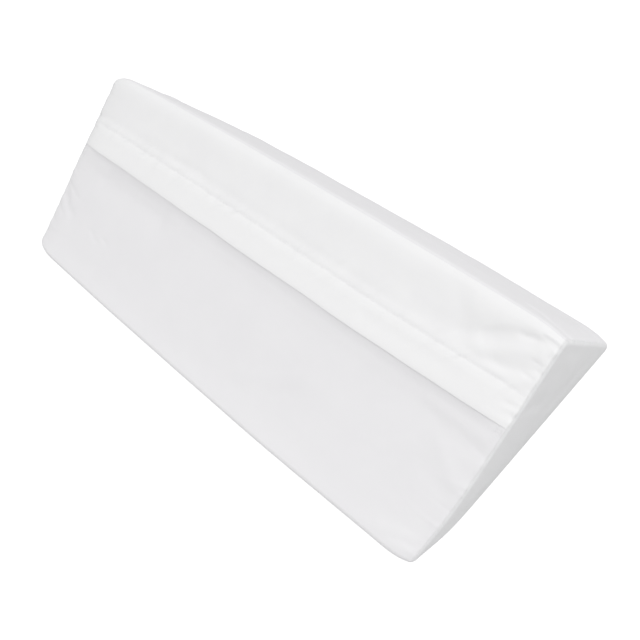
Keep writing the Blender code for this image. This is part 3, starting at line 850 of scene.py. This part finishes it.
def whiter_hem(material, hem_start, softness, gain):
    """Two layers of thin cotton let less of what lies under them through, so the hem is a little whiter."""
    nodes, links = material.node_tree.nodes, material.node_tree.links
    down = nodes.new("ShaderNodeSeparateXYZ")
    links.new(nodes["UV Map"].outputs["UV"], down.inputs[0])
    doubled = nodes.new("ShaderNodeMapRange")
    doubled.inputs["From Min"].default_value = hem_start - softness
    doubled.inputs["From Max"].default_value = hem_start + softness
    doubled.inputs["To Max"].default_value = gain
    links.new(down.outputs["Y"], doubled.inputs["Value"])
    tone = nodes["Mix"]
    plus = nodes.new("ShaderNodeMath")
    links.new(tone.inputs["Factor"].links[0].from_socket, plus.inputs[0])
    links.new(doubled.outputs["Result"], plus.inputs[1])
    links.new(plus.outputs["Value"], tone.inputs["Factor"])


flap_cotton = cotton("flap cotton", (0.922, 0.921, 0.925), (0.868, 0.865, 0.875), 0.00012)
whiter_hem(flap_cotton, hem_start=0.0665, softness=0.0015, gain=0.5)
hemmed_flap = build_flap(flap_cotton)


# The sewing
# White polyester thread: a lockstitch along the top of the hem, short stitches that show between the cloths
# in the end seams, and a little overlocking where the flap's edge runs into each end seam.


def stitch_tree():
    """A run of stitches along a path: short rounded lengths of thread that lie on the cloth."""
    tree = bpy.data.node_groups.new("run of stitches", "GeometryNodeTree")
    face = tree.interface
    face.new_socket("Path", in_out="INPUT", socket_type="NodeSocketGeometry")
    sizes = {"Pitch": 0.003, "Length": 0.0024, "Thickness": 0.0004, "Slant": 0.0, "Uneven": 0.1}
    for label, value in sizes.items():
        face.new_socket(label, in_out="INPUT", socket_type="NodeSocketFloat").default_value = value
    face.new_socket("Seed", in_out="INPUT", socket_type="NodeSocketInt")
    face.new_socket("Thread", in_out="INPUT", socket_type="NodeSocketMaterial")
    face.new_socket("Stitches", in_out="OUTPUT", socket_type="NodeSocketGeometry")
    nodes, links = tree.nodes, tree.links
    given = nodes.new("NodeGroupInput").outputs
    path = nodes.new("GeometryNodeMeshToCurve")
    links.new(given["Path"], path.inputs["Mesh"])
    spaced = nodes.new("GeometryNodeResampleCurve")
    spaced.mode = "LENGTH"
    links.new(path.outputs["Curve"], spaced.inputs["Curve"])
    links.new(given["Pitch"], spaced.inputs["Length"])
    stitch = nodes.new("GeometryNodeMeshUVSphere")
    stitch.inputs["Segments"].default_value = 6
    stitch.inputs["Rings"].default_value = 5
    stitch.inputs["Radius"].default_value = 0.5
    size = nodes.new("ShaderNodeCombineXYZ")
    links.new(given["Length"], size.inputs["X"])
    links.new(given["Thickness"], size.inputs["Y"])
    links.new(given["Thickness"], size.inputs["Z"])
    shaped = nodes.new("GeometryNodeTransform")
    links.new(stitch.outputs["Mesh"], shaped.inputs["Geometry"])
    links.new(size.outputs["Vector"], shaped.inputs["Scale"])
    smooth = nodes.new("GeometryNodeSetShadeSmooth")
    links.new(shaped.outputs["Geometry"], smooth.inputs["Geometry"])
    facing = nodes.new("GeometryNodeInputNamedAttribute")
    facing.data_type = "FLOAT_VECTOR"
    facing.inputs["Name"].default_value = "facing"
    upright = nodes.new("FunctionNodeAlignRotationToVector")
    upright.axis = "Z"
    links.new(facing.outputs["Attribute"], upright.inputs["Vector"])
    along = nodes.new("FunctionNodeAlignRotationToVector")
    along.axis = "X"
    along.pivot_axis = "Z"
    links.new(upright.outputs["Rotation"], along.inputs["Rotation"])
    links.new(nodes.new("GeometryNodeInputTangent").outputs["Tangent"], along.inputs["Vector"])
    wander = nodes.new("FunctionNodeRandomValue")
    wander.data_type = "FLOAT"
    wander.inputs["Min"].default_value = -0.06
    wander.inputs["Max"].default_value = 0.06
    links.new(given["Seed"], wander.inputs["Seed"])
    slant = nodes.new("ShaderNodeMath")
    links.new(given["Slant"], slant.inputs[0])
    links.new(wander.outputs["Value"], slant.inputs[1])
    about = nodes.new("ShaderNodeCombineXYZ")
    links.new(slant.outputs["Value"], about.inputs["Z"])
    as_turn = nodes.new("FunctionNodeEulerToRotation")
    links.new(about.outputs["Vector"], as_turn.inputs["Euler"])
    turned = nodes.new("FunctionNodeRotateRotation")
    turned.rotation_space = "LOCAL"
    links.new(along.outputs["Rotation"], turned.inputs["Rotation"])
    links.new(as_turn.outputs["Rotation"], turned.inputs["Rotate By"])
    least = nodes.new("ShaderNodeMath")
    least.operation = "SUBTRACT"
    least.inputs[0].default_value = 1
    links.new(given["Uneven"], least.inputs[1])
    most = nodes.new("ShaderNodeMath")
    most.inputs[0].default_value = 1
    links.new(given["Uneven"], most.inputs[1])
    sized = nodes.new("FunctionNodeRandomValue")
    sized.data_type = "FLOAT"
    links.new(least.outputs["Value"], sized.inputs["Min"])
    links.new(most.outputs["Value"], sized.inputs["Max"])
    links.new(given["Seed"], sized.inputs["Seed"])
    placed = nodes.new("GeometryNodeInstanceOnPoints")
    links.new(spaced.outputs["Curve"], placed.inputs["Points"])
    links.new(smooth.outputs["Geometry"], placed.inputs["Instance"])
    links.new(turned.outputs["Rotation"], placed.inputs["Rotation"])
    links.new(sized.outputs["Value"], placed.inputs["Scale"])
    real = nodes.new("GeometryNodeRealizeInstances")
    links.new(placed.outputs["Instances"], real.inputs["Geometry"])
    painted = nodes.new("GeometryNodeSetMaterial")
    links.new(real.outputs["Geometry"], painted.inputs["Geometry"])
    links.new(given["Thread"], painted.inputs["Material"])
    links.new(painted.outputs["Geometry"], nodes.new("NodeGroupOutput").inputs["Stitches"])
    return tree


STITCHES = stitch_tree()


def sew(path, facing, **sizes):
    """One run of stitches along a path of settled points, as a plain mesh."""
    mesh = bpy.data.meshes.new("path")
    mesh.from_pydata(path.tolist(), [(i, i + 1) for i in range(len(path) - 1)], [])
    mesh.attributes.new("facing", "FLOAT_VECTOR", "POINT").data.foreach_set("vector", facing.ravel())
    line = into_scene("path", mesh)
    run = line.modifiers.new("stitches", "NODES")
    run.node_group = STITCHES
    inputs = (item for item in STITCHES.interface.items_tree if item.in_out == "INPUT")
    sockets = {item.name: item.identifier for item in inputs}
    for label, value in sizes.items():
        run[sockets[label.capitalize()]] = value
    made = bpy.data.meshes.new_from_object(line.evaluated_get(bpy.context.evaluated_depsgraph_get()))
    bpy.data.objects.remove(line)
    return made


def joined(name, meshes):
    """Several plain meshes as one object."""
    whole = into_scene(name, meshes[0])
    if len(meshes) > 1:
        built = [into_scene(name + "_run", mesh) for mesh in meshes[1:]]
        with bpy.context.temp_override(active_object=whole, selected_editable_objects=[whole, *built]):
            bpy.ops.object.join()
    whole.data.name = name
    return whole


def thread_material():
    """Fine white polyester thread with a soft gloss and its twist as a faint bump."""
    material = bpy.data.materials.new("white thread")
    material.use_nodes = True
    nodes, links = material.node_tree.nodes, material.node_tree.links
    shader = nodes["Principled BSDF"]
    shader.inputs["Roughness"].default_value = 0.5
    place = nodes.new("ShaderNodeTexCoord")
    twist = nodes.new("ShaderNodeTexWave")
    twist.bands_direction = "DIAGONAL"
    twist.inputs["Scale"].default_value = 900
    links.new(place.outputs["Object"], twist.inputs["Vector"])
    tone = nodes.new("ShaderNodeMix")
    tone.data_type = "RGBA"
    tone.inputs["A"].default_value = (0.87, 0.868, 0.878, 1)
    tone.inputs["B"].default_value = (0.93, 0.928, 0.934, 1)
    links.new(twist.outputs["Fac"], tone.inputs["Factor"])
    links.new(tone.outputs["Result"], shader.inputs["Base Color"])
    plies = nodes.new("ShaderNodeBump")
    plies.inputs["Distance"].default_value = 0.00005
    links.new(twist.outputs["Fac"], plies.inputs["Height"])
    links.new(plies.outputs["Normal"], shader.inputs["Normal"])
    return material


def facing_of(place, first, second):
    """Unit normals of a surface function of two coordinates, by small steps along each."""
    step = 0.0002
    d_first = place(first + step, second) - place(first - step, second)
    d_second = place(first, second + step) - place(first, second - step)
    normal = np.cross(d_second, d_first)
    return normal / np.linalg.norm(normal, axis=-1, keepdims=True)


def on_flap(share, s):
    x = share * (HALF_LENGTH - lip("front", s, np.sign(share)))
    return settle(over_cover(share, "front", s, flap_height(x, s))) + SHIFT


def on_wrap(share, s):
    return settle(over_cover(share, "front", s, -under_flap("front", share, s))) + SHIFT


white_thread = thread_material()
along_hem = np.linspace(-0.988, 0.988, 500)
hem_line = np.full_like(along_hem, HEM_LINE)
facing = facing_of(on_flap, along_hem, hem_line)
hem_stitches = joined("hem_stitches", [sew(
    on_flap(along_hem, hem_line) + facing * 0.00005, facing,
    pitch=0.0029, length=0.0025, thickness=0.00042, slant=0.03, uneven=0.08, seed=3, thread=white_thread,
)])

# The crossing threads of the overlocking and the one along its edge
OVERLOCK_RUNS = (
    # inward, slant, length, seed
    (0.0034, 1.05, 0.0050, 5),
    (0.0034, -1.05, 0.0050, 6),
    (0.0056, 0.0, 0.0018, 7),
)
overlocks = []
for name, end in (("overlocking_left", -1), ("overlocking_right", 1)):
    down = np.linspace(FLAP_WIDTH - 0.001, FLAP_WIDTH + 0.0125, 40)
    reach = HALF_LENGTH - lip("front", down, np.full_like(down, end))
    runs = []
    for inward, slant, length, seed in OVERLOCK_RUNS:
        share = end * (1 - inward / reach)
        facing = facing_of(on_wrap, share, down)
        runs.append(sew(
            on_wrap(share, down) + facing * 0.00004, facing,
            pitch=0.0019, length=length, thickness=0.00026, slant=slant, uneven=0.12, seed=seed,
            thread=white_thread,
        ))
    overlocks.append(joined(name, runs))

seam_runs = []
for side, first, last in (("front", 0.006, FRONT - 0.010), ("back", 0.006, BACK - 0.010)):
    for end in (-1, 1):
        down = np.linspace(first, last, 300)
        at_seam = np.full_like(down, end * 1.0)
        over, above = (
            settle(over_cover(at_seam, side, down, np.full_like(down, rise))) + SHIFT
            for rise in (0.0001, 0.0025)
        )
        facing = above - over
        seam_runs.append(sew(
            over, facing / np.linalg.norm(facing, axis=1, keepdims=True),
            pitch=0.0030, length=0.0012, thickness=0.00024, slant=1.35, uneven=0.25, seed=8 + end,
            thread=white_thread,
        ))
seam_stitches = joined("end_seam_stitches", seam_runs)

for piece in (hemmed_flap, hem_stitches, *overlocks, seam_stitches):
    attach(piece, "root")
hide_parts("closure_flap")


# The floor, the light and the camera
# A white floor that fades into a white backdrop, a broad soft light overhead and gentler ones low.

FLOOR_HALF = 6.0
floor_mesh = bpy.data.meshes.new("floor")
floor_mesh.from_pydata([(-FLOOR_HALF, -FLOOR_HALF, 0), (FLOOR_HALF, -FLOOR_HALF, 0),
                        (FLOOR_HALF, FLOOR_HALF, 0), (-FLOOR_HALF, FLOOR_HALF, 0)], [], [(0, 1, 2, 3)])
floor = into_scene("floor", floor_mesh)


def floor_material(bounce, glow):
    """White paper that is lit from within for the camera, so that its shadows all but vanish."""
    material = bpy.data.materials.new("white floor")
    material.use_nodes = True
    nodes, links = material.node_tree.nodes, material.node_tree.links
    paper = nodes["Principled BSDF"]
    paper.inputs["Roughness"].default_value = 0.9
    paper.inputs["Specular IOR Level"].default_value = 0.0
    paper.inputs["Base Color"].default_value = (bounce, bounce, bounce, 1)
    seen = nodes.new("ShaderNodeLightPath")
    lit = nodes.new("ShaderNodeEmission")
    lit.inputs["Strength"].default_value = glow
    both = nodes.new("ShaderNodeAddShader")
    links.new(paper.outputs["BSDF"], both.inputs[0])
    links.new(lit.outputs["Emission"], both.inputs[1])
    choice = nodes.new("ShaderNodeMixShader")
    links.new(seen.outputs["Is Camera Ray"], choice.inputs["Fac"])
    links.new(paper.outputs["BSDF"], choice.inputs[1])
    links.new(both.outputs["Shader"], choice.inputs[2])
    links.new(choice.outputs["Shader"], nodes["Material Output"].inputs["Surface"])
    return material


floor_mesh.materials.append(floor_material(bounce=0.53, glow=0.75))


def soft_light(name, place, width, height, power):
    """A soft box that points at the middle of the wedge."""
    lamp = bpy.data.lights.new(name, "AREA")
    lamp.shape = "RECTANGLE"
    lamp.size = width
    lamp.size_y = height
    lamp.energy = power
    light = into_scene(name, lamp)
    light.location = place
    light.rotation_euler = (Vector((0, 0, 0.07)) - light.location).to_track_quat("-Z", "Y").to_euler()
    light.visible_camera = False


soft_light("overhead", (1.0, 0.35, 3.0), 3.0, 2.6, 40.0)
soft_light("low front", (0.0, -0.62, 0.12), 1.8, 0.2, 1.0)
soft_light("back right", (2.8, 1.7, 0.9), 1.8, 1.4, 6.4)

world = bpy.data.worlds.new("studio")
world.use_nodes = True
room = world.node_tree.nodes
room["Background"].inputs["Color"].default_value = (1, 1, 1, 1)
behind = room.new("ShaderNodeMapRange")
behind.inputs["To Min"].default_value = 0.66
behind.inputs["To Max"].default_value = 1.0
world.node_tree.links.new(room.new("ShaderNodeLightPath").outputs["Is Camera Ray"], behind.inputs["Value"])
world.node_tree.links.new(behind.outputs["Result"], room["Background"].inputs["Strength"])
bpy.context.scene.world = world
bpy.context.scene.view_settings.view_transform = "Standard"

camera = into_scene("camera", bpy.data.cameras.new("camera"))
bpy.context.scene.camera = camera
RIGHT = Vector((0.7219, 0.6913, -0.0297))
UP = Vector((-0.5116, 0.5622, 0.6498))
AHEAD = Vector((-0.4659, 0.4539, -0.7595))
CAMERA_PLACE = Vector((0.3296, -0.2979, 0.4772)) + Vector(SHIFT)
camera.matrix_world = Matrix.Translation(CAMERA_PLACE) @ Matrix((RIGHT, UP, -AHEAD)).transposed().to_4x4()
camera.data.lens = 37.53
camera.data.sensor_width = 36
